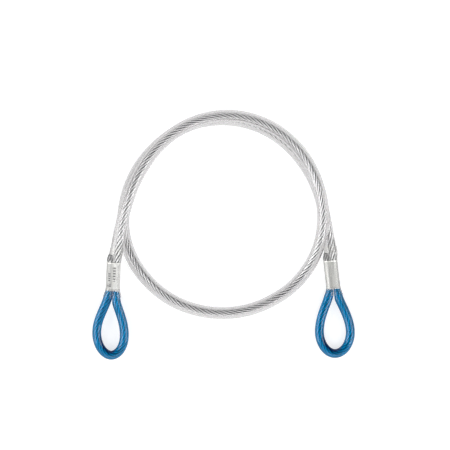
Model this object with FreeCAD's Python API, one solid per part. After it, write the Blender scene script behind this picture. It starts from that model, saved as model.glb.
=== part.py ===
import FreeCAD, Part
import math
import os

# A coated wire rope sling, laid down in one and a half loose turns.
# One rope runs from its left dead end, round the left eye, through the coil, round the right eye
# and back to its right dead end. A clear tube covers the coil, a blue hose covers each eye, and a
# pressed ferrule under a clear shrink sleeve closes each eye.
# Millimetres, +Z up, the floor at Z = 0, the origin under the middle of the whole sling.

# ---- Driving dimensions -------------------------------------------------------------------
ROPE_D = 5.0
JACKET_OD = 10.0
JACKET_ID = 8.0
HOSE_OD = 7.6
HOSE_ID = 5.2
HOSE_GAP = 0.2          # between the two squeezed ends of one hose, where its legs meet
HOSE_START = 26.5       # where a hose begins, measured along the ferrule's axis
HOSE_APEX = 40.0        # below here its two limbs are well apart

FERRULE_LENGTH = 23.5
FERRULE_WIDTH = 11.2
FERRULE_HEIGHT = 7.8    # pressed flat: two lobes side by side, one over each leg of rope
FERRULE_EDGE = 0.6      # rounding of its two ends
FERRULE_VALLEY = 1.5    # rounding of the groove between the lobes

LABEL_THICKNESS = 0.12
LABEL_SPAN = (1.3, 22.2)    # along the ferrule
LABEL_LOW = -0.6            # how far the label wraps down each side, from the ferrule's middle

SLEEVE_WALL = 0.4
TAIL = 4.5              # rope that stands out of the ferrule at each dead end

# ---- Where the two ends lie ---------------------------------------------------------------
# Each end has its own axes: along the ferrule towards the eye, across it to the right, and up.
# The origin is the middle of the ferrule's upper face, lean turns the end in plan, and droop
# tips it down towards the eye. The left end leans on the coil, so it slopes to the floor.
LEFT = FreeCAD.Placement(FreeCAD.Vector(-92.15, -23.15, 12.4), FreeCAD.Rotation(-2.6, 0, 6.2))
RIGHT = FreeCAD.Placement(FreeCAD.Vector(89.75, -21.65, 5.5), FreeCAD.Rotation(6.3, 0, 1.2))

# ---- Route of the rope, its points chosen by hand ------------------------------------------
# The eyes: (along, across) from the loaded leg above the ferrule to the dead end.
LEFT_EYE = [
    (-3, 2.7), (11, 2.6), (24, 2.6), (33, 3.1), (43, 7.2), (53, 10.6), (64, 11.9), (73.5, 9.4),
    (78.9, 3.6), (78.5, -2.6), (72.5, -8.8), (63, -12), (53, -11.6), (43, -8.4), (34, -4.7),
    (25.5, -2.75), (12, -2.6), (-TAIL, -2.7),
]
RIGHT_EYE = [
    (-3, 2.5), (11, 2.6), (24, 2.6), (32, 3.4), (43.5, 7.6), (54.5, 10.4), (65, 10.2), (74.3, 5.6),
    (78.8, -1.6), (77.6, -8.6), (71, -14.2), (61, -16.3), (50.5, -14.2), (41, -10.2), (33.5, -6.2),
    (26, -3), (12, -2.6), (-TAIL, -2.7),
]

# The coil: (angle in degrees from +X, radius, height) about the coil's centre, clockwise. The
# first half turn lies on top of the last one, and comes down to the floor past the right leg.
COIL_CENTRE = (0.35, 18.65)
COIL = [
    (157, 80.6, 15.2), (132, 80.7, 15.2), (107, 82.5, 15.2), (82, 83.8, 15.0), (57, 84.3, 14.7),
    (32, 84.2, 14.8), (7, 84.2, 15.2), (-13, 85.3, 15.1), (-32, 86.1, 8.0), (-52, 86.1, 5.0),
    (-77, 86.2, 5.0), (-102, 86.9, 5.0), (-127, 88.1, 5.0), (-152, 88.5, 5.0), (-175, 87.1, 5.0),
    (-200, 83.7, 5.0), (-225, 80.9, 5.0), (-250, 80.9, 5.0), (-275, 79.9, 5.0), (-300, 79.9, 5.0),
    (-325, 80.1, 5.0), (-348, 82.6, 5.0),
]

# Between the ferrules and the coil, (x, y, z). The rope enters each ferrule off its middle, and
# the wider clear tube ends nearer that middle.
LEFT_LEG = [(-88.5, -5.3, 14.4), (-85.8, 8.2, 15.2), (-81.9, 25.2, 15.2)]
RIGHT_LEG = [(86.6, 7.2, 5.1), (89.5, -5.7, 5.5)]
JACKET_LEFT_END = (-6.5, 1.4)      # (along, across) in the left end's axes
JACKET_RIGHT_END = (-6.5, 1.2)     # and in the right end's
JACKET_LEFT_LEG = [(-88.9, -5.3, 14.4), (-85.9, 8.2, 15.2), (-81.9, 25.2, 15.2)]
JACKET_RIGHT_LEG = [(86.4, 7.2, 5.1), (88.8, -5.7, 5.5)]

# The space inside each shrink sleeve: (along, across, half width, half height).
SLEEVE_OVER_FERRULE = [(0, 0, 5.75, 4.2), (FERRULE_LENGTH, 0, 5.75, 4.2)]
LEFT_SLEEVE = [(-12, 1.95, 5.4, 5.2), (-6.4, 1.4, 5.4, 5.2), (-TAIL, 0.3, 6.1, 4.9)]
LEFT_SLEEVE += SLEEVE_OVER_FERRULE + [(HOSE_START, -0.1, 7.2, 4.0), (29.5, -0.15, 7.5, 4.0)]
RIGHT_SLEEVE = [(-12, 0.95, 5.4, 5.2), (-6.4, 1.2, 5.4, 5.2), (-TAIL, 0.3, 6.1, 4.9)]
RIGHT_SLEEVE += SLEEVE_OVER_FERRULE + [(HOSE_START, -0.3, 7.5, 4.1), (29.5, -0.75, 8.5, 4.1)]

ARC_SHARE = 0.45        # of the shorter run, that an arc takes up at each of its ends


# ---- Paths and tubes ----------------------------------------------------------------------
def place(end, along, across, up=0.0):
    """A point given in an end's own axes."""
    return end.multVec(FreeCAD.Vector(across, -along, up))


def coil_point(angle, radius, height):
    turn = math.radians(angle)
    x = COIL_CENTRE[0] + radius * math.cos(turn)
    y = COIL_CENTRE[1] + radius * math.sin(turn)
    return FreeCAD.Vector(x, y, height)


def rounded_edges(points, name):
    """Straight runs through the points, each corner rounded by the largest tangent arc."""
    edges = []
    radii = []
    start = points[0]
    for before, corner, after in zip(points, points[1:], points[2:]):
        back = before - corner
        on = after - corner
        run = min(back.Length, on.Length)
        half_turn = (math.pi - back.getAngle(on)) / 2
        radius = ARC_SHARE * run / math.tan(half_turn)
        back.normalize()
        on.normalize()
        arc_start = corner + back * (ARC_SHARE * run)
        arc_end = corner + on * (ARC_SHARE * run)
        inward = back + on
        inward.normalize()
        arc_middle = corner + inward * (radius / math.cos(half_turn) - radius)
        edges.append(Part.LineSegment(start, arc_start).toShape())
        edges.append(Part.Arc(arc_start, arc_middle, arc_end).toShape())
        radii.append(round(radius, 1))
        start = arc_end
    edges.append(Part.LineSegment(start, points[-1]).toShape())
    print(name, "smallest radius", min(radii), "radii", radii)
    return edges


def tube(edges, outer, inner=0.0):
    """A round tube, or a rod where there is no inner diameter, along a chain of edges."""
    start = edges[0].valueAt(edges[0].FirstParameter)
    along = edges[0].tangentAt(edges[0].FirstParameter)
    section = Part.Face(Part.Wire(Part.makeCircle(outer / 2, start, along)))
    if inner > 0:
        section = section.cut(Part.Face(Part.Wire(Part.makeCircle(inner / 2, start, along))))
    path = Part.Wire(edges)
    solid = path.makePipe(section.Faces[0])
    share = solid.Volume / (math.pi * (outer**2 - inner**2) / 4 * path.Length)
    print("  length", round(path.Length, 1), "volume over section times length", round(share, 4))
    return solid


def rope_points():
    left_eye = [place(LEFT, *p) for p in reversed(LEFT_EYE)]
    left_leg = [FreeCAD.Vector(*p) for p in LEFT_LEG]
    coil = [coil_point(*p) for p in COIL]
    right_leg = [FreeCAD.Vector(*p) for p in RIGHT_LEG]
    right_eye = [place(RIGHT, *p) for p in RIGHT_EYE]
    return left_eye + left_leg + coil + right_leg + right_eye


def jacket_points():
    left = [place(LEFT, *JACKET_LEFT_END)] + [FreeCAD.Vector(*p) for p in JACKET_LEFT_LEG]
    right = [FreeCAD.Vector(*p) for p in JACKET_RIGHT_LEG] + [place(RIGHT, *JACKET_RIGHT_END)]
    return left + [coil_point(*p) for p in COIL] + right


# ---- Pieces at each end ---------------------------------------------------------------------
def lobed_bar(half_height, start, end):
    """A bar along the ferrule's axis with two lobes side by side and a rounded groove."""
    offset = FERRULE_WIDTH / 2 - FERRULE_HEIGHT / 2
    lobes = []
    for across in (-offset, offset):
        base = FreeCAD.Vector(across, -start, 0)
        lobes.append(Part.makeCylinder(half_height, end - start, base, FreeCAD.Vector(0, -1, 0)))
    bar = lobes[0].fuse(lobes[1]).removeSplitter()
    creases = [e for e in bar.Edges if abs(e.CenterOfMass.x) < 0.01 and e.Length > end - start - 1]
    creases = [e for e in creases if isinstance(e.Curve, Part.Line)]
    return bar.makeFillet(FERRULE_VALLEY, creases)


def ferrule(end, rope):
    bar = lobed_bar(FERRULE_HEIGHT / 2, 0, FERRULE_LENGTH)
    rims = [e for e in bar.Edges if abs(e.BoundBox.YLength) < 0.01]
    body = bar.makeFillet(FERRULE_EDGE, rims)
    body.Placement = end
    return body.cut(rope)


def label():
    outer = lobed_bar(FERRULE_HEIGHT / 2 + LABEL_THICKNESS, *LABEL_SPAN)
    inner = lobed_bar(FERRULE_HEIGHT / 2, 0, FERRULE_LENGTH)
    reach = FERRULE_WIDTH
    corner = FreeCAD.Vector(-reach, -FERRULE_LENGTH, LABEL_LOW)
    upper_half = Part.makeBox(2 * reach, FERRULE_LENGTH, reach, corner)
    sheet = outer.cut(inner).common(upper_half)
    sheet.Placement = LEFT
    return sheet


def eye_hose(end, eye, name):
    """One hose as two halves that meet at the eye's tip. Each half keeps to its own side at the
    top, where the two ends of the hose are squeezed together under the sleeve."""
    tip = max(range(len(eye)), key=lambda i: eye[i][0])
    points = [place(end, *p) for p in eye]
    edges = rounded_edges(points, name)
    tip_run = edges[2 * tip]
    middle = (points[tip] + points[tip + 1]) / 2
    down_run = Part.LineSegment(tip_run.valueAt(tip_run.FirstParameter), middle).toShape()
    up_run = Part.LineSegment(middle, tip_run.valueAt(tip_run.LastParameter)).toShape()
    far = 60.0
    above = Part.makeBox(2 * far, far, far, FreeCAD.Vector(-far, -HOSE_START, -far / 2))
    halves = []
    for path, other_side in (
        (edges[2:2 * tip] + [down_run], -far),
        ([up_run] + edges[2 * tip + 1:-2], -HOSE_GAP / 2),
    ):
        corner = FreeCAD.Vector(other_side, -HOSE_APEX, -far / 2)
        beyond = Part.makeBox(far + HOSE_GAP / 2, HOSE_APEX, far, corner)
        half = tube(path, HOSE_OD, HOSE_ID)
        for room in (above, beyond):
            room.Placement = end
            half = half.cut(room)
        halves.append(half)
    return halves[0].fuse(halves[1])


def obround(along, across, half_width, half_height):
    """A closed outline with flat top and bottom and round sides, square to the ferrule's axis."""
    flat = half_width - half_height
    y = -along
    right = FreeCAD.Vector(across + half_width, y, 0)
    left = FreeCAD.Vector(across - half_width, y, 0)
    corners = {}
    for key, dx, dz in (("ru", 1, 1), ("rl", 1, -1), ("lu", -1, 1), ("ll", -1, -1)):
        corners[key] = FreeCAD.Vector(across + dx * flat, y, dz * half_height)
    return Part.Wire([
        Part.LineSegment(corners["lu"], corners["ru"]).toShape(),
        Part.Arc(corners["ru"], right, corners["rl"]).toShape(),
        Part.LineSegment(corners["rl"], corners["ll"]).toShape(),
        Part.Arc(corners["ll"], left, corners["lu"]).toShape(),
    ])


def shrink_sleeve(end, sections):
    solids = []
    for wall in (SLEEVE_WALL, 0.0):
        outlines = [obround(a, c, w + wall, h + wall) for a, c, w, h in sections]
        solids.append(Part.makeLoft(outlines, True, True))
    shell = solids[0].cut(solids[1])
    shell.Placement = end
    return shell


# ---- Build and write ----------------------------------------------------------------------
def main():
    os.makedirs("parts", exist_ok=True)
    rope = tube(rounded_edges(rope_points(), "rope"), ROPE_D)
    jacket = tube(rounded_edges(jacket_points(), "jacket"), JACKET_OD, JACKET_ID)
    nodes = {
        "wire_rope": rope,
        "clear_jacket": jacket,
        "left_ferrule": ferrule(LEFT, rope),
        "right_ferrule": ferrule(RIGHT, rope),
        "ferrule_label": label(),
        "left_eye_hose": eye_hose(LEFT, LEFT_EYE, "left hose"),
        "right_eye_hose": eye_hose(RIGHT, RIGHT_EYE, "right hose"),
        "left_shrink_sleeve": shrink_sleeve(LEFT, LEFT_SLEEVE),
        "right_shrink_sleeve": shrink_sleeve(RIGHT, RIGHT_SLEEVE),
    }
    for name, shape in nodes.items():
        shape.exportStep("parts/" + name + ".step")
        box = shape.BoundBox
        print(name, "solids", len(shape.Solids), "valid", shape.isValid(),
              "volume", round(shape.Volume, 1), "x", round(box.XMin, 2), round(box.XMax, 2),
              "y", round(box.YMin, 2), round(box.YMax, 2), "z", round(box.ZMin, 2), round(box.ZMax, 2))


main()
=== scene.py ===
import math

import bpy
import numpy as np
from mathutils import Matrix, Vector


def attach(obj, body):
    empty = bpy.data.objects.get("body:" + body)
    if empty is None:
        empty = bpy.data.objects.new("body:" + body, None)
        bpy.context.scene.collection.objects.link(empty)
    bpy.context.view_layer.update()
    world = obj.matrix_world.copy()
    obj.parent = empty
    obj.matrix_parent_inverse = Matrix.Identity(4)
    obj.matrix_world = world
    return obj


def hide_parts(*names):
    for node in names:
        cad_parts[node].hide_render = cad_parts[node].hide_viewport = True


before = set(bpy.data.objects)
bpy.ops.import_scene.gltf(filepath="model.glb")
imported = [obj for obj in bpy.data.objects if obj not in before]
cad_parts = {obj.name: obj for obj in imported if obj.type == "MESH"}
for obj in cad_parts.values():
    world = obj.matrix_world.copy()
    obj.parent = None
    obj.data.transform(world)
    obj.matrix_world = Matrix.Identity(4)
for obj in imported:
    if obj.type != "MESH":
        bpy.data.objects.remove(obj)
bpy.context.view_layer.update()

# ---- Sizes --------------------------------------------------------------------------------------
ROPE_D = 0.005
LAY = 0.0315                    # length in which a strand goes once round the rope
STRANDS = 6
STRAND_R = ROPE_D / 6           # seven equal circles make the rope
WIRES = 12                      # outer wires of one strand
WIRE_RELIEF = 0.26              # how much of a round wire's height stands proud after drawing and wear
WIRE_LAY = 3                    # turns of the wires in a strand for each turn of the strand in the rope
POINTS_PER_WIRE = 3
CORE_LAY = 2                    # turns of the core's wires for each turn of the strands
CORE_POINTS_PER_WIRE = 2
CORE_THINNING = 3               # the core has a ring at every third point of the rope's line
ROPE_STEP = 0.0007              # distance between points of the rope's line

# Painted shade on the wires, for the shade between wires and strands, runs from 0 on a crown to 1 deep
# between two strands.
WIRE_GROOVE_SHADE = 0.35              # painted shade in the groove between two wires
STRAND_GROOVE_SHADE = (0.15, 0.85)    # 1 - cos of the angle from a strand's crown, from no painted shade to full
CORE_SHADE = 0.5             # painted shade on the core's crowns, which lie deep inside the rope
CUT_DARKNESS = 0.5              # darkness of the wires at the rope's two cut ends
CUT_REACH = (0.004, 0.007)      # distance from a cut end over which that darkness fades out
CUT_ROUGHNESS = 0.85
FILLED_GROOVE_SHADE = 0.42            # share of the painted groove shade left where a hose's plastic fills the grooves
FILLED_ROUGHNESS = 0.42

JACKET_R = 0.005
JACKET_BORE = 0.004
JACKET_STEP = 0.0015            # distance between points of the jacket's line
JACKET_POINTS = 64
SHRUNK_BORE = 0.0018            # at the jacket's ends, where it has shrunk into the strands' grooves
SHRUNK_REACH = (0.006, 0.022)   # from the jacket's end, where the bore starts to open and is open
ROPE_SAG = 0.0008               # how much lower than the jacket's line the rope lies in it

HOSE_R = 0.0038
HOSE_POINTS = 60
HOSE_GRIP = 0.00004             # how far the hose's bore is pressed into the rope
HOSE_TOP = 0.0237               # along an end, where the hose is pushed up to the ferrule
HOSE_TOP_R = 0.0029             # its radius there, squeezed
HOSE_FULL = 0.0300              # along an end, where it has its full radius
HOSE_SPLIT = 0.00006            # each limb of a hose keeps this far from the end's middle plane
HOSE_APEX = 0.040               # along an end, beyond which the limbs no longer touch
EYE_MIDDLE = 0.056              # along an end, the middle of the eye's opening
EYE_REACH = 0.022               # an eye stays within this distance of its end's middle line
SHADE_REACH = 0.012             # length in which the hose's painted shade sets in
SHADE_TOWARDS = (0.5, 0.866)    # the direction on the floor that the side with the most painted shade faces
SHADE_TURN = (-0.15, 0.55)      # cosine of the angle to that direction, from no painted shade to full
SHADE_BEND = (-0.3, 0.5)        # cosine of the angle to the eye's middle, from no painted shade to full

SLEEVE_WALL = 0.00025
SLEEVE_STEP = 0.0005            # distance between rings of a sleeve's outside
FILM_DIP = 0.33                 # share of its height that the film sinks between the limbs
FILM_DIP_WIDTH = 0.0016
FILM_DIP_REACH = (0.0236, 0.0285)   # along an end, where the dip starts and is full

SHADE_LINE_SHIFT = 0.0004             # how far the line of painted shade on a ferrule lies from its middle
SHADE_LINE_WIDTH = 0.0025             # distance from that line over which the painted shade clears up
RIM_HIGHLIGHT_REACH = (0.0006, 0.0013)    # along an end, where the painted highlight on the ferrule's rim fades out
PLASTIC_SPREAD = 0.05           # share by which a plastic's roughness varies either way
LABEL_SHADE = 0.28                     # painted shade on the label's left side, away from the light, 0 to 1
LABEL_SHADE_EDGE = (-0.0010, 0.0014)   # across the label, where that painted shade fades out

# The label's columns of dashes: place across, half width, start, end, period, share inked, strength.
PRINT = [
    (-0.0031, 0.0009, 0.0085, 0.0165, 0.0019, 0.58, 0.90),
    (-0.0031, 0.0015, 0.0180, 0.0212, 0.0018, 0.55, 0.95),
    (0.0009, 0.0011, 0.0036, 0.0160, 0.0023, 0.50, 0.85),
    (0.0040, 0.0004, 0.0030, 0.0205, 0.0017, 0.55, 0.30),
]


# ---- The route, as points of two smooth curves --------------------------------------------------
def end_axes(origin, turn, tilt):
    """One end's own axes: x across, -y along it towards the eye's tip, z up."""
    spin = Matrix.Rotation(math.radians(turn), 4, "Z") @ Matrix.Rotation(math.radians(tilt), 4, "X")
    return Matrix.Translation(origin) @ spin


LEFT = end_axes((-0.09215, -0.02315, 0.0124), -2.6, 6.2)
RIGHT = end_axes((0.08975, -0.02165, 0.0055), 6.3, 1.2)

# Each eye as (along, across), from the loaded leg round the tip to the dead end.
LEFT_EYE = [
    (-0.0030, 0.0027), (0.0110, 0.0026), (0.0240, 0.0026), (0.0330, 0.0031), (0.0430, 0.0072),
    (0.0530, 0.0106), (0.0640, 0.0119), (0.0735, 0.0094), (0.0789, 0.0036), (0.0785, -0.0026),
    (0.0725, -0.0088), (0.0630, -0.0120), (0.0530, -0.0116), (0.0430, -0.0084), (0.0340, -0.0047),
    (0.0255, -0.00275), (0.0120, -0.0026), (-0.0060, -0.0028),
]
RIGHT_EYE = [
    (-0.0030, 0.0025), (0.0110, 0.0026), (0.0240, 0.0026), (0.0320, 0.0034), (0.0435, 0.0076),
    (0.0545, 0.0104), (0.0650, 0.0102), (0.0743, 0.0056), (0.0788, -0.0016), (0.0776, -0.0086),
    (0.0710, -0.0142), (0.0610, -0.0163), (0.0505, -0.0142), (0.0410, -0.0102), (0.0335, -0.0062),
    (0.0260, -0.0030), (0.0120, -0.0026), (-0.0060, -0.0028),
]

# The loose turn, clockwise: angle in degrees, radius and height of the jacket's line, and how far
# outward of that line the rope lies in the jacket.
COIL_CENTRE = (0.00035, 0.01865)
COIL = [
    (157, 0.0795, 0.0152, 0.0000), (132, 0.0799, 0.0152, 0.0003), (107, 0.0818, 0.0152, 0.0003),
    (82, 0.0835, 0.0150, 0.0003), (57, 0.0839, 0.0147, -0.0002), (32, 0.0838, 0.0148, 0.0000),
    (7, 0.0841, 0.0152, 0.0001), (-13, 0.0853, 0.0151, 0.0000), (-32, 0.0861, 0.0080, -0.0003),
    (-52, 0.0864, 0.0050, -0.0002), (-77, 0.0865, 0.0050, -0.0003), (-102, 0.0870, 0.0050, -0.0002),
    (-127, 0.0882, 0.0050, -0.0005), (-152, 0.0887, 0.0050, -0.0008), (-175, 0.0872, 0.0050, -0.0004),
    (-200, 0.0837, 0.0050, -0.0003), (-225, 0.0809, 0.0050, 0.0003), (-250, 0.0809, 0.0050, 0.0006),
    (-275, 0.0799, 0.0050, 0.0006), (-300, 0.0799, 0.0050, 0.0000), (-325, 0.0801, 0.0050, 0.0004),
    (-348, 0.0826, 0.0050, 0.0010),
]
LEFT_LEG = [(-0.0877, -0.0055, 0.0138), (-0.0847, 0.0079, 0.0145), (-0.0807, 0.0249, 0.0145)]
RIGHT_LEG = [(0.0876, 0.0072, 0.0045), (0.0899, -0.0057, 0.0051)]
JACKET_LEFT_END = (-0.0065, 0.0014)
JACKET_RIGHT_END = (-0.0065, 0.0012)
JACKET_LEFT_LEG = [(-0.0889, -0.0053, 0.0144), (-0.0859, 0.0082, 0.0152), (-0.0819, 0.0252, 0.0152)]
JACKET_RIGHT_LEG = [(0.0864, 0.0072, 0.0051), (0.0888, -0.0057, 0.0055)]


def place(end, along, across, up=0.0):
    """A point given in an end's own axes."""
    return tuple(end @ Vector((across, -along, up)))


def coil_point(angle, radius, height):
    """A point of the loose turn."""
    turn = math.radians(angle)
    x = COIL_CENTRE[0] + radius * math.cos(turn)
    y = COIL_CENTRE[1] + radius * math.sin(turn)
    return (x, y, height)


def rope_points():
    """From the cut end at the left ferrule round the left eye, the coil and the right eye."""
    points = [place(LEFT, *p) for p in reversed(LEFT_EYE)] + LEFT_LEG
    points += [coil_point(a, r + out, h - ROPE_SAG) for a, r, h, out in COIL]
    return points + RIGHT_LEG + [place(RIGHT, *p) for p in RIGHT_EYE]


def jacket_points():
    """From the left ferrule round the coil to the right one."""
    points = [place(LEFT, *JACKET_LEFT_END)] + JACKET_LEFT_LEG
    points += [coil_point(a, r, h) for a, r, h, out in COIL]
    return points + JACKET_RIGHT_LEG + [place(RIGHT, *JACKET_RIGHT_END)]


def smooth_line(name, points, step):
    """Evenly spaced points along a smooth curve with these control points."""
    curve = bpy.data.curves.new(name, "CURVE")
    curve.dimensions = "3D"
    curve.resolution_u = 64
    spline = curve.splines.new("NURBS")
    spline.points.add(len(points) - 1)
    for control, (x, y, z) in zip(spline.points, points):
        control.co = (x, y, z, 1)
    spline.order_u = 3
    spline.use_endpoint_u = True
    holder = bpy.data.objects.new(name, curve)
    mesh = bpy.data.meshes.new_from_object(holder)
    line = np.array([v.co for v in mesh.vertices])
    bpy.data.objects.remove(holder)
    bpy.data.curves.remove(curve)
    bpy.data.meshes.remove(mesh)
    at = np.concatenate(([0], np.cumsum(np.linalg.norm(np.diff(line, axis=0), axis=1))))
    wanted = np.linspace(0, at[-1], round(at[-1] / step) + 1)
    return np.column_stack([np.interp(wanted, at, line[:, k]) for k in range(3)])


ROPE_LINE = smooth_line("rope_route", rope_points(), ROPE_STEP)
JACKET_LINE = smooth_line("jacket_route", jacket_points(), JACKET_STEP)


# ---- Mesh helpers -------------------------------------------------------------------------------
def unit(vectors):
    """The vectors at length 1."""
    return vectors / np.linalg.norm(vectors, axis=-1, keepdims=True)


def frames(line):
    """Tangent, upward normal and sideways direction at each point of a line that lies flat."""
    tangents = unit(np.gradient(line, axis=0))
    normals = unit(np.array((0.0, 0.0, 1.0)) - tangents * tangents[:, 2:3])
    return tangents, normals, np.cross(tangents, normals)


def rings(centres, u, v, angles, radii):
    """A ring of points round each centre. angles and radii are arrays of rings by points."""
    flat = (radii * np.cos(angles))[..., None] * u[:, None, :]
    return centres[:, None, :] + flat + (radii * np.sin(angles))[..., None] * v[:, None, :]


def wall_faces(first, count, around, inward):
    """Quads between consecutive rings whose points start at number first."""
    i, j = np.meshgrid(np.arange(count - 1), np.arange(around), indexing="ij")
    a = first + i * around + j
    b = first + i * around + (j + 1) % around
    quads = np.stack([a, b, b + around, a + around], axis=-1).reshape(-1, 4)
    return quads[:, ::-1] if inward else quads


def skin(name, outer, inner=None, values=None):
    """A closed piece from a stack of rings: solid with capped ends, or with a bore of inner rings.
    values holds named numbers for the points of the outer rings."""
    count, around = outer.shape[:2]
    j = np.arange(around)
    on = (j + 1) % around
    last = (count - 1) * around
    faces = wall_faces(0, count, around, False).tolist()
    if inner is None:
        points = np.concatenate([outer.reshape(-1, 3), outer[:1].mean(axis=1), outer[-1:].mean(axis=1)])
        centre = count * around
        faces += [(centre, int(q), int(p)) for p, q in zip(j, on)]
        faces += [(centre + 1, last + int(p), last + int(q)) for p, q in zip(j, on)]
    else:
        points = np.concatenate([outer.reshape(-1, 3), inner.reshape(-1, 3)])
        bore = count * around
        end = bore + (len(inner) - 1) * around
        faces += wall_faces(bore, len(inner), around, True).tolist()
        faces += np.stack([j, bore + j, bore + on, on], axis=-1).tolist()
        faces += np.stack([last + j, last + on, end + on, end + j], axis=-1).tolist()
    mesh = bpy.data.meshes.new(name)
    mesh.from_pydata(points.tolist(), [], faces)
    mesh.shade_smooth()
    for label, given in (values or {}).items():
        spread = np.zeros(len(points))
        spread[:given.size] = given.ravel()
        mesh.attributes.new(label, "FLOAT", "POINT").data.foreach_set("value", spread)
    piece = bpy.data.objects.new(name, mesh)
    bpy.context.scene.collection.objects.link(piece)
    return piece


def sharpen(piece, degrees=40):
    """Keeps the edges of cut ends crisp."""
    piece.data.set_sharp_from_angle(angle=math.radians(degrees))


def full_turn(points):
    """Evenly spaced angles once round."""
    return np.linspace(0, 2 * math.pi, points, endpoint=False)


def ease(value, start, end):
    """0 before start, 1 after end, and smooth between them."""
    share = np.clip((value - start) / (end - start), 0, 1)
    return share * share * (3 - 2 * share)


def moved(matrix, points):
    """The points, an array whose last axis holds x, y and z, moved by a 4 x 4 matrix."""
    table = np.array(matrix)
    flat = points.reshape(-1, 3) @ table[:3, :3].T + table[:3, 3]
    return flat.reshape(points.shape)


def in_end(end, points):
    """Points of the whole object's frame, given in an end's own axes."""
    return moved(end.inverted(), points)


def from_end(end, points):
    """Points in an end's own axes, given in the whole object's frame."""
    return moved(end, points)


# ---- The rope -----------------------------------------------------------------------------------
def wire_outline(points_per_wire):
    """Radius of a strand at each point of its outline, and how deep in a groove it is, 0 to 1."""
    pitch = math.pi / WIRES
    wire = STRAND_R * math.sin(pitch) / (1 + math.sin(pitch))
    ring = STRAND_R - wire
    turn = full_turn(WIRES * points_per_wire)
    off = (turn + pitch) % (2 * pitch) - pitch
    reach = ring * np.cos(off) + np.sqrt(np.maximum(wire**2 - (ring * np.sin(off)) ** 2, 0))
    depth = STRAND_R - reach
    return turn, STRAND_R - WIRE_RELIEF * depth, depth / depth.max()


def lay_angle(line):
    """How far the strands have gone round the rope at each point of its line."""
    return 2 * math.pi * np.arange(len(line)) * ROPE_STEP / LAY


def in_hoses(line):
    """1 where the line runs inside an eye's hose, 0 elsewhere."""
    inside = np.zeros(len(line))
    for end in (LEFT, RIGHT):
        local = in_end(end, line)
        inside[(-local[:, 1] > HOSE_TOP) & (np.abs(local[:, 0]) < EYE_REACH)] = 1
    return inside


def strand(number):
    """One outer strand, its wires laid the other way, so that they run along the rope."""
    _, normals, sides = frames(ROPE_LINE)
    lay = lay_angle(ROPE_LINE)
    around = (lay + 2 * math.pi * number / STRANDS)[:, None]
    outward = np.cos(around) * normals + np.sin(around) * sides
    line = ROPE_LINE + 2 * STRAND_R * outward
    own = unit(np.gradient(line, axis=0))
    outward = unit(outward - own * np.sum(outward * own, axis=1, keepdims=True))
    turn, reach, groove_shade = wire_outline(POINTS_PER_WIRE)
    angles = turn[None, :] - WIRE_LAY * lay[:, None]
    radii = np.broadcast_to(reach, angles.shape)
    # Painted shade: wires are darkened where they face the neighbouring strands and in the grooves
    # between wires. The same attribute also carries the darker cut ends.
    shade_between_strands = ease(1 - np.cos(angles), *STRAND_GROOVE_SHADE)
    from_start = ROPE_STEP * np.arange(len(ROPE_LINE))
    cut_end = 1 - ease(np.minimum(from_start, from_start[::-1]), *CUT_REACH)
    depth = np.maximum(groove_shade[None, :] * WIRE_GROOVE_SHADE, shade_between_strands)
    depth = np.maximum(depth, CUT_DARKNESS * cut_end[:, None])
    values = {
        "groove_shade": depth,
        "filled": np.broadcast_to(in_hoses(ROPE_LINE)[:, None], angles.shape),
        "cut_end": np.broadcast_to(cut_end[:, None], angles.shape),
    }
    stack = rings(line, outward, np.cross(own, outward), angles, radii)
    return skin("rope_strand_%d" % (number + 1), stack, values=values)


def core():
    """The straight strand in the middle, hidden but for slits."""
    line = ROPE_LINE[::CORE_THINNING]
    _, normals, sides = frames(line)
    turn, reach, groove_shade = wire_outline(CORE_POINTS_PER_WIRE)
    angles = turn[None, :] + CORE_LAY * lay_angle(ROPE_LINE)[::CORE_THINNING, None]
    radii = np.broadcast_to(reach, angles.shape)
    # Painted shade: the core lies deep inside the rope, so even its crowns are darkened.
    depth = np.broadcast_to(CORE_SHADE + (1 - CORE_SHADE) * groove_shade, angles.shape)
    return skin("rope_core", rings(line, normals, sides, angles, radii), values={"groove_shade": depth})


def rope_outline(angles, lay):
    """Radius of the six-lobed rope at these angles round it."""
    lobe = math.pi / STRANDS
    off = (angles - lay + lobe) % (2 * lobe) - lobe
    ring = 2 * STRAND_R
    return ring * np.cos(off) + np.sqrt(np.maximum(STRAND_R**2 - (ring * np.sin(off)) ** 2, 0))


# ---- The jacket and the hoses -------------------------------------------------------------------
def jacket():
    """The clear tube. Shrinking the sleeves on has closed its bore on the rope at both ends."""
    tangents, normals, sides = frames(JACKET_LINE)
    angles = np.broadcast_to(full_turn(JACKET_POINTS), (len(JACKET_LINE), JACKET_POINTS))
    outer = rings(JACKET_LINE, normals, sides, angles, np.full(angles.shape, JACKET_R))
    from_start = np.arange(len(JACKET_LINE)) * JACKET_STEP
    from_nearest_end = np.minimum(from_start, from_start[::-1])
    tight = 1 - ease(from_nearest_end, *SHRUNK_REACH)
    rope = ROPE_LINE[::4]
    nearest = np.linalg.norm(JACKET_LINE[:, None] - rope[None], axis=2).argmin(axis=1)
    bore_line = JACKET_LINE + tight[:, None] * (rope[nearest] - JACKET_LINE)
    bore_line -= tangents * np.sum((bore_line - JACKET_LINE) * tangents, axis=1, keepdims=True)
    bore = JACKET_BORE + tight * (SHRUNK_BORE - JACKET_BORE)
    inner = rings(bore_line, normals, sides, angles, np.repeat(bore[:, None], JACKET_POINTS, axis=1))
    piece = skin("clear_tube", outer, inner)
    sharpen(piece)
    return piece


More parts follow.
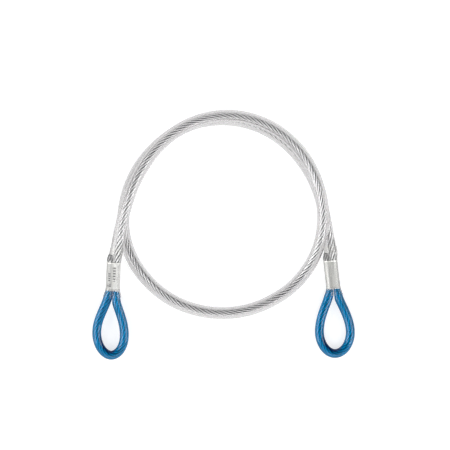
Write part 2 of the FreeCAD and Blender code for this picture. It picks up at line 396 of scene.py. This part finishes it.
def hose_shade_share(local, spokes):
    """How much painted shade the hose gets, 0 to 1: most round the tip, where its side faces both the
    eye's middle and the dim back of the room. local are the line's points in the end's axes, spokes its
    rings' radii."""
    outward = unit(spokes)
    to_middle = unit(np.array((0.0, -EYE_MIDDLE)) - local[:, :2])[:, None, :]
    inside = ease(np.sum(outward[..., :2] * to_middle, axis=2), *SHADE_BEND)
    facing = outward[..., 0] * SHADE_TOWARDS[0] + outward[..., 1] * SHADE_TOWARDS[1]
    near_tip = ease(-local[:, 1], EYE_MIDDLE, EYE_MIDDLE + SHADE_REACH)[:, None]
    return inside * ease(facing, *SHADE_TURN) * near_tip


def eye_hose(name, end, is_start):
    """The blue hose round an eye, moulded on the rope. Its two ends are pressed flat on each other."""
    quarter = len(ROPE_LINE) // 4
    span = slice(0, quarter) if is_start else slice(len(ROPE_LINE) - quarter, len(ROPE_LINE))
    _, normals, sides = (part[span] for part in frames(ROPE_LINE))
    line = ROPE_LINE[span]
    lay = lay_angle(ROPE_LINE)[span]
    local = in_end(end, line)
    covered = -local[:, 1] > HOSE_TOP
    line, normals, sides, lay, local = (a[covered] for a in (line, normals, sides, lay, local))
    angles = np.broadcast_to(full_turn(HOSE_POINTS), (len(line), HOSE_POINTS))
    squeeze = 1 - ease(-local[:, 1], HOSE_TOP, HOSE_FULL)
    outer_radii = HOSE_R - squeeze * (HOSE_R - HOSE_TOP_R)
    outer = rings(line, normals, sides, angles, np.repeat(outer_radii[:, None], HOSE_POINTS, axis=1))
    bore = rope_outline(angles, lay[:, None]) - HOSE_GRIP
    inner = rings(line, normals, sides, angles, bore)
    # Painted shade: the hose is tinted darker where its side faces the eye's middle and the dim back of
    # the room.
    hose_shade = hose_shade_share(local, outer - line[:, None])
    limb_side = np.sign(local[:, 0])[:, None]
    near_top = (-local[:, 1] < HOSE_APEX)[:, None]
    for stack in (outer, inner):
        own = in_end(end, stack)
        kept = limb_side * np.maximum(limb_side * own[..., 0], HOSE_SPLIT)
        own[..., 0] = np.where(near_top, kept, own[..., 0])
        stack[:] = from_end(end, own)
    piece = skin(name, outer, inner, values={"hose_shade": hose_shade})
    sharpen(piece, degrees=50)
    return piece


# ---- Sleeves and label --------------------------------------------------------------------------
def obround_rings(sections, step=None, around=96, soften=7):
    """Flat-sided rings through (along, across, half width, half height) sections: at each section, or
    with a step, evenly spaced and eased into each other."""
    table = np.array(sections)
    along, across, wide, high = table.T
    if step:
        along = np.linspace(table[0, 0], table[-1, 0], round((table[-1, 0] - table[0, 0]) / step) + 1)
        window = np.ones(soften) / soften
        across, wide, high = (
            np.convolve(np.pad(np.interp(along, table[:, 0], table[:, k]), soften // 2, mode="edge"),
                        window, mode="valid") for k in (1, 2, 3)
        )
    turn = full_turn(around)[None, :]
    along_flat = np.clip(3 * np.cos(turn), -1, 1)   # points in the middle third lie on the flat sides
    flat = (wide - high)[:, None] * along_flat
    x = across[:, None] + flat + high[:, None] * np.cos(turn)
    z = high[:, None] * np.sin(turn)
    y = np.broadcast_to(-along[:, None], x.shape)
    return np.stack([x, y, z], axis=-1)


def dip(stack):
    """Below the ferrule the film sinks a little between the two limbs of the hose."""
    reach = FILM_DIP * ease(-stack[..., 1], *FILM_DIP_REACH)
    stack[..., 2] *= 1 - reach * np.exp(-((stack[..., 0] / FILM_DIP_WIDTH) ** 2))
    return stack


def shrink_sleeve(name, end, outer_sections, inner_sections):
    """The clear film over a ferrule, from the jacket's end to the top of the hose."""
    outer = from_end(end, dip(obround_rings(outer_sections, SLEEVE_STEP)))
    inner = from_end(end, dip(obround_rings(inner_sections)))
    piece = skin(name, outer, inner)
    sharpen(piece, degrees=50)
    return piece


# ---- Materials ----------------------------------------------------------------------------------
def blank_material(name):
    """A material and its node tree, still empty."""
    material = bpy.data.materials.new(name)
    material.use_nodes = True
    material.node_tree.nodes.clear()
    return material, material.node_tree


def node(tree, kind, settings=None, **inputs):
    """Adds a node. inputs are values or sockets, named as the node's inputs with _ for a space."""
    made = tree.nodes.new("ShaderNode" + kind)
    for key, value in (settings or {}).items():
        setattr(made, key, value)
    for key, value in inputs.items():
        socket = made.inputs[int(key[1:]) if key[0] == "_" else key.replace("_", " ")]
        if isinstance(value, bpy.types.NodeSocket):
            tree.links.new(value, socket)
        else:
            socket.default_value = value
    return made


def ramp(tree, factor, low, high, start=0.0, end=1.0):
    """A blend from one colour to another as the factor goes from start to end."""
    made = node(tree, "ValToRGB", Fac=factor)
    made.color_ramp.elements[0].position = start
    made.color_ramp.elements[1].position = end
    made.color_ramp.elements[0].color = (*low, 1)
    made.color_ramp.elements[1].color = (*high, 1)
    return made.outputs["Color"]


def output(tree, shader):
    node(tree, "OutputMaterial", Surface=shader)


def noise(tree, scale, detail=2.0, stretch=(1, 1, 1)):
    """Socket for a mottle fixed to the object, finer with a larger scale."""
    where = node(tree, "TexCoord").outputs["Object"]
    scaled = node(tree, "Mapping", Vector=where, Scale=stretch).outputs["Vector"]
    return node(tree, "TexNoise", Vector=scaled, Scale=scale, Detail=detail).outputs["Fac"]


def maths(tree, operation, first, second, third=0.0):
    """Socket for the result of a Math node."""
    return node(tree, "Math", {"operation": operation}, _0=first, _1=second, _2=third).outputs[0]


def blend(tree, factor, below, above, mode="MIX"):
    """The colour below, with the colour above laid over it by the factor."""
    settings = {"data_type": "RGBA", "blend_type": mode}
    return node(tree, "Mix", settings, _0=factor, _6=below, _7=above).outputs[2]


def attribute(tree, name):
    """Socket for a value that the mesh carries at each point."""
    return node(tree, "Attribute", {"attribute_name": name}).outputs["Fac"]


def between(tree, factor, low, high, start=0.0, end=1.0):
    """Socket for a value that goes from low to high as the factor goes from start to end."""
    return node(tree, "MapRange", Value=factor, _1=start, _2=end, _3=low, _4=high).outputs["Result"]


def zinc_wire():
    """Galvanised wire: pale zinc, mottled, with painted shade in the grooves, and duller at the cut
    ends.
    """
    material, tree = blank_material("zinc_wire")
    mottle = ramp(tree, noise(tree, 900, 3), (0.73, 0.73, 0.73), (0.86, 0.86, 0.86), 0.35, 0.65)
    filled = attribute(tree, "filled")
    shade_kept = between(tree, filled, 1.0, FILLED_GROOVE_SHADE)
    groove_shade = maths(tree, "MULTIPLY", attribute(tree, "groove_shade"), shade_kept)
    # Painted shade: the grooves between wires and strands are darkened, less where a hose fills them.
    painted_shade = ramp(tree, groove_shade, (1, 1, 1), (0.07, 0.07, 0.08), 0.15, 0.90)
    colour = blend(tree, 1.0, mottle, painted_shade, "MULTIPLY")
    rough = between(tree, noise(tree, 1500, 2), 0.38, 0.52)
    wetted = between(tree, filled, rough, FILLED_ROUGHNESS)
    dulled = maths(tree, "MULTIPLY", attribute(tree, "cut_end"), CUT_ROUGHNESS)
    rough = maths(tree, "MAXIMUM", wetted, dulled)
    bump = node(tree, "Bump", Strength=0.25, Distance=0.00003, Height=noise(tree, 4000, 2))
    metal = node(tree, "BsdfPrincipled", Base_Color=colour, Metallic=1.0, Roughness=rough,
                 Normal=bump.outputs["Normal"])
    output(tree, metal.outputs["BSDF"])
    return material


def clear_plastic(name, tint, shade, ior, roughness, shaded_tint=None):
    """See-through plastic: tint is its colour through both sides, shade the colour of its shadow, and
    the last colour, if given, its tint where the mesh carries full painted shade."""
    material, tree = blank_material(name)
    smoothest = roughness * (1 - PLASTIC_SPREAD)
    roughest = roughness * (1 + PLASTIC_SPREAD)
    rough = between(tree, noise(tree, 700, 3), smoothest, roughest)
    # Painted shade, where given: a darker tint by the mesh's painted shade value.
    colour = ramp(tree, attribute(tree, "hose_shade"), tint, shaded_tint) if shaded_tint else (*tint, 1)
    plastic = node(tree, "BsdfPrincipled", Base_Color=colour, Roughness=rough, IOR=ior,
                   Transmission_Weight=1.0)
    shadow = node(tree, "BsdfTransparent", Color=(*shade, 1))
    rays = node(tree, "LightPath")
    both = node(tree, "MixShader", _0=rays.outputs["Is Shadow Ray"], _1=plastic.outputs["BSDF"],
                _2=shadow.outputs["BSDF"])
    output(tree, both.outputs["Shader"])
    return material


def in_end_frame(tree, end):
    """Sockets for how far across and how far along an end a point is, in metres."""
    where = node(tree, "TexCoord").outputs["Object"]
    own = node(tree, "Mapping", {"vector_type": "TEXTURE"}, Vector=where,
               Location=tuple(end.translation), Rotation=tuple(end.to_euler()))
    split = node(tree, "SeparateXYZ", Vector=own.outputs["Vector"])
    return split.outputs["X"], maths(tree, "MULTIPLY", split.outputs["Y"], -1.0)


def pressed_aluminium(name, end):
    """Aluminium with fine lengthwise marks, with painted shade in the seam between its two lobes and a
    painted highlight on the rounded rim at the rope's side."""
    material, tree = blank_material(name)
    across, along = in_end_frame(tree, end)
    grain = noise(tree, 500, 3, stretch=(1, 0.08, 1))
    bare = ramp(tree, grain, (0.46, 0.46, 0.455), (0.56, 0.56, 0.55), 0.3, 0.7)
    # Painted shade: darker along the seam between the two lobes.
    off_shade_line = maths(tree, "ABSOLUTE", maths(tree, "ADD", across, SHADE_LINE_SHIFT), 0.0)
    shade_clearing = maths(tree, "MULTIPLY", off_shade_line, 1 / SHADE_LINE_WIDTH)
    seam_shade = ramp(tree, shade_clearing, (0.88, 0.88, 0.88), (1, 1, 1), 0.1, 0.8)
    # Painted highlight: the rim at the rope's side is made paler.
    rim_highlight = between(tree, along, 1.0, 0.0, *RIM_HIGHLIGHT_REACH)
    colour = blend(tree, rim_highlight, blend(tree, 1.0, bare, seam_shade, "MULTIPLY"), (0.85, 0.85, 0.84, 1))
    rough = between(tree, noise(tree, 900, 2, stretch=(1, 0.1, 1)), 0.66, 0.78)
    bump = node(tree, "Bump", Strength=0.3, Distance=0.00005, Height=grain)
    metal = node(tree, "BsdfPrincipled", Base_Color=colour, Metallic=1.0, Roughness=rough,
                 Normal=bump.outputs["Normal"])
    output(tree, metal.outputs["BSDF"])
    return material


def dashes(tree, across, along, column, half_width, start, end, period, share):
    """1 inside a column of dashes printed along the label, 0 elsewhere. All in metres."""
    in_column = maths(tree, "COMPARE", across, column, half_width)
    in_reach = maths(tree, "COMPARE", along, (start + end) / 2, (end - start) / 2)
    within = maths(tree, "LESS_THAN", maths(tree, "PINGPONG", along, period / 2), share * period / 2)
    return maths(tree, "MULTIPLY", maths(tree, "MULTIPLY", in_column, in_reach), within)


def label_film():
    """A pale printed film with painted shade down its left side. The print is only rows of plain
    dashes.
    """
    material, tree = blank_material("label_film")
    across, along = in_end_frame(tree, LEFT)
    ink = 0.0
    for column, half_width, start, end, period, share, strength in PRINT:
        column_ink = dashes(tree, across, along, column, half_width, start, end, period, share)
        ink = maths(tree, "MULTIPLY_ADD", column_ink, strength, ink)
    paper = ramp(tree, noise(tree, 300, 3), (0.55, 0.55, 0.54), (0.61, 0.61, 0.60), 0.3, 0.7)
    # Painted shade: the label is greyed towards its left side.
    side_shade = between(tree, across, LABEL_SHADE, 0.0, *LABEL_SHADE_EDGE)
    colour = blend(tree, maths(tree, "MAXIMUM", ink, side_shade), paper, (0.05, 0.05, 0.055, 1))
    surface = node(tree, "BsdfPrincipled", Base_Color=colour, Roughness=0.6)
    output(tree, surface.outputs["BSDF"])
    return material


# ---- Camera, floor and light --------------------------------------------------------------------
CAMERA_PLACE = (0.0012, 0.00815, 4.2102)
LENS = 400                      # millimetres, as is the sensor
SENSOR = 36
FLOOR_HALF = 4.0                # half a side of the floor
ROOM_TURN = (-0.06, -0.65)      # y of a direction, from the dim back of the room to its bright front

# Each light: name, place, what it points at, size and watts.
LIGHTS = [
    ("left_softbox", (-1.25, -0.15, 0.85), (0, 0, 0), (1.1, 1.2), 15),
    ("right_softbox", (1.25, -0.15, 0.85), (0, 0, 0), (1.1, 1.2), 15),
    ("front_softbox", (0.0, -1.2, 1.0), (0, 0, 0), (1.2, 0.6), 3.5),
    ("back_card", (0.0, 0.22, 0.10), (0, 0.10, 0.01), (0.4, 0.08), 0.12),
]


def make_camera():
    """Straight above the coil with a long lens, with the eyes at the bottom of the view."""
    data = bpy.data.cameras.new("camera")
    data.lens = LENS
    data.sensor_width = SENSOR
    camera = bpy.data.objects.new("camera", data)
    camera.location = CAMERA_PLACE
    bpy.context.scene.collection.objects.link(camera)
    bpy.context.scene.camera = camera


def area_light(name, location, target, size, power):
    """A rectangular light, not seen itself, that points at its target."""
    data = bpy.data.lights.new(name, "AREA")
    data.shape = "RECTANGLE"
    data.size, data.size_y = size
    data.energy = power
    light = bpy.data.objects.new(name, data)
    light.location = location
    light.visible_camera = False
    aim = Vector(target) - Vector(location)
    light.rotation_euler = aim.to_track_quat("-Z", "Y").to_euler()
    bpy.context.scene.collection.objects.link(light)


def glowing_paper(tree, grey, glow):
    """Matt paper of this grey that also gives off a little light."""
    matt = node(tree, "BsdfDiffuse", Color=(grey, grey, grey, 1))
    light = node(tree, "Emission", Color=(1, 1, 1, 1), Strength=glow)
    both = node(tree, "AddShader", _0=matt.outputs["BSDF"], _1=light.outputs["Emission"])
    return both.outputs["Shader"]


def make_floor():
    """White paper, a little greyer to everything but the camera, so that the clear parts show."""
    mesh = bpy.data.meshes.new("floor")
    corners = [(x * FLOOR_HALF, y * FLOOR_HALF, 0) for x, y in ((-1, -1), (1, -1), (1, 1), (-1, 1))]
    mesh.from_pydata(corners, [], [(0, 1, 2, 3)])
    floor = bpy.data.objects.new("floor", mesh)
    bpy.context.scene.collection.objects.link(floor)
    material, tree = blank_material("white_paper")
    rays = node(tree, "LightPath")
    paper = node(tree, "MixShader", _0=rays.outputs["Is Camera Ray"],
                 _1=glowing_paper(tree, 0.34, 0.48), _2=glowing_paper(tree, 0.45, 0.72))
    output(tree, paper.outputs["Shader"])
    mesh.materials.append(material)


def make_light():
    """A dim room, brighter in front, with a large softbox on each side, a wide one in front and a
    faint card at the back."""
    scene = bpy.context.scene
    world = bpy.data.worlds.new("studio")
    scene.world = world
    world.use_nodes = True
    tree = world.node_tree
    tree.nodes.clear()
    split = node(tree, "SeparateXYZ", Vector=node(tree, "TexCoord").outputs["Generated"])
    to_front = between(tree, split.outputs["Y"], 0.0, 1.0, *ROOM_TURN)
    colour = ramp(tree, to_front, (0.035, 0.035, 0.04), (0.95, 0.95, 0.95))
    background = node(tree, "Background", Color=colour, Strength=1.0)
    node(tree, "OutputWorld", Surface=background.outputs["Background"])
    for light in LIGHTS:
        area_light(*light)
    scene.view_settings.view_transform = "Standard"
    scene.cycles.transparent_max_bounces = 24
    scene.cycles.max_bounces = 20
    scene.cycles.transmission_bounces = 20


# ---- Put it together ----------------------------------------------------------------------------
# Sections of the sleeves' film as (along, across, half width, half height).
FERRULE_FILM = [
    (-0.0052, 0.0008, 0.0058, 0.0047), (-0.0030, 0.0002, 0.0059, 0.0041), (0.0, 0.0, 0.00565, 0.0040),
    (0.0235, 0.0, 0.0057, 0.0040), (0.0250, 0.0, 0.00635, 0.0041),
]
LEFT_FILM = [
    (-0.0120, 0.00195, 0.0053, 0.0052), (-0.0064, 0.0014, 0.0054, 0.0052), *FERRULE_FILM,
    (0.0275, -0.0001, 0.0070, 0.0040), (0.0295, -0.00015, 0.0075, 0.0040),
]
RIGHT_FILM = [
    (-0.0120, 0.00095, 0.0053, 0.0052), (-0.0064, 0.0012, 0.0054, 0.0052), *FERRULE_FILM,
    (0.0275, -0.0003, 0.0070, 0.0040), (0.0295, -0.0006, 0.0079, 0.0040),
]

# Half the bore's width on the jacket, then its sections on the bare rope and on the ferrule.
JACKET_GRIP = 0.00505
ROPE_BORE = [(-0.00638, 0.0026, 0.0014, 0.0014), (-0.00006, 0.0026, 0.0014, 0.0014)]
FERRULE_BORE = [(-0.00004, 0.0, 0.00564, 0.00396), (0.02355, 0.0, 0.00564, 0.00396)]

# Each end: its side, its axes, whether the rope's line starts there, and its film.
ENDS = [("left", LEFT, True, LEFT_FILM), ("right", RIGHT, False, RIGHT_FILM)]


def film_outside(sections):
    """The sections grown by the film's wall."""
    return [(a, c, wide + SLEEVE_WALL, high + SLEEVE_WALL) for a, c, wide, high in sections]


def film_inside(sections):
    """The bore hugs the jacket, the ferrule and the top of the hose. Round the bare rope between them
    it is narrower than the rope, which the film grips with no gap."""
    jacket_part = [(along, across, JACKET_GRIP, JACKET_GRIP) for along, across, _, _ in sections[:2]]
    return jacket_part + ROPE_BORE + FERRULE_BORE + sections[-3:]


def paint(piece, material):
    """Makes this the piece's only material."""
    piece.data.materials.clear()
    piece.data.materials.append(material)


make_camera()
make_floor()
make_light()

zinc = zinc_wire()
clear = clear_plastic("clear_tube_plastic", (0.918, 0.912, 0.914), (0.985, 0.983, 0.985), 1.45, 0.03)
# The blue hose's last colour is its painted shade, a darker navy.
blue = clear_plastic("blue_hose_plastic", (0.0005, 0.205, 0.455), (0.015, 0.46, 0.73), 1.46, 0.05,
                     shaded_tint=(0.001, 0.020, 0.12))
film = clear_plastic("clear_film", (0.97, 0.97, 0.96), (0.97, 0.97, 0.96), 1.35, 0.22)
printed = label_film()

tube = jacket()
paint(tube, clear)
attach(tube, "root")
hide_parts("clear_jacket")

strands = [strand(number) for number in range(STRANDS)] + [core()]
for piece in strands:
    paint(piece, zinc)
    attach(piece, "root")
    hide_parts("wire_rope")

for side, end, is_start, sections in ENDS:
    hose = eye_hose(side + "_blue_hose", end, is_start)
    paint(hose, blue)
    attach(hose, "root")
    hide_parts(side + "_eye_hose")
    sleeve = shrink_sleeve(side + "_clear_sleeve", end, film_outside(sections), film_inside(sections))
    paint(sleeve, film)
    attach(sleeve, "root")
    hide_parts(side + "_shrink_sleeve")
    paint(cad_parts[side + "_ferrule"], pressed_aluminium(side + "_pressed_aluminium", end))

paint(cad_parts["ferrule_label"], printed)
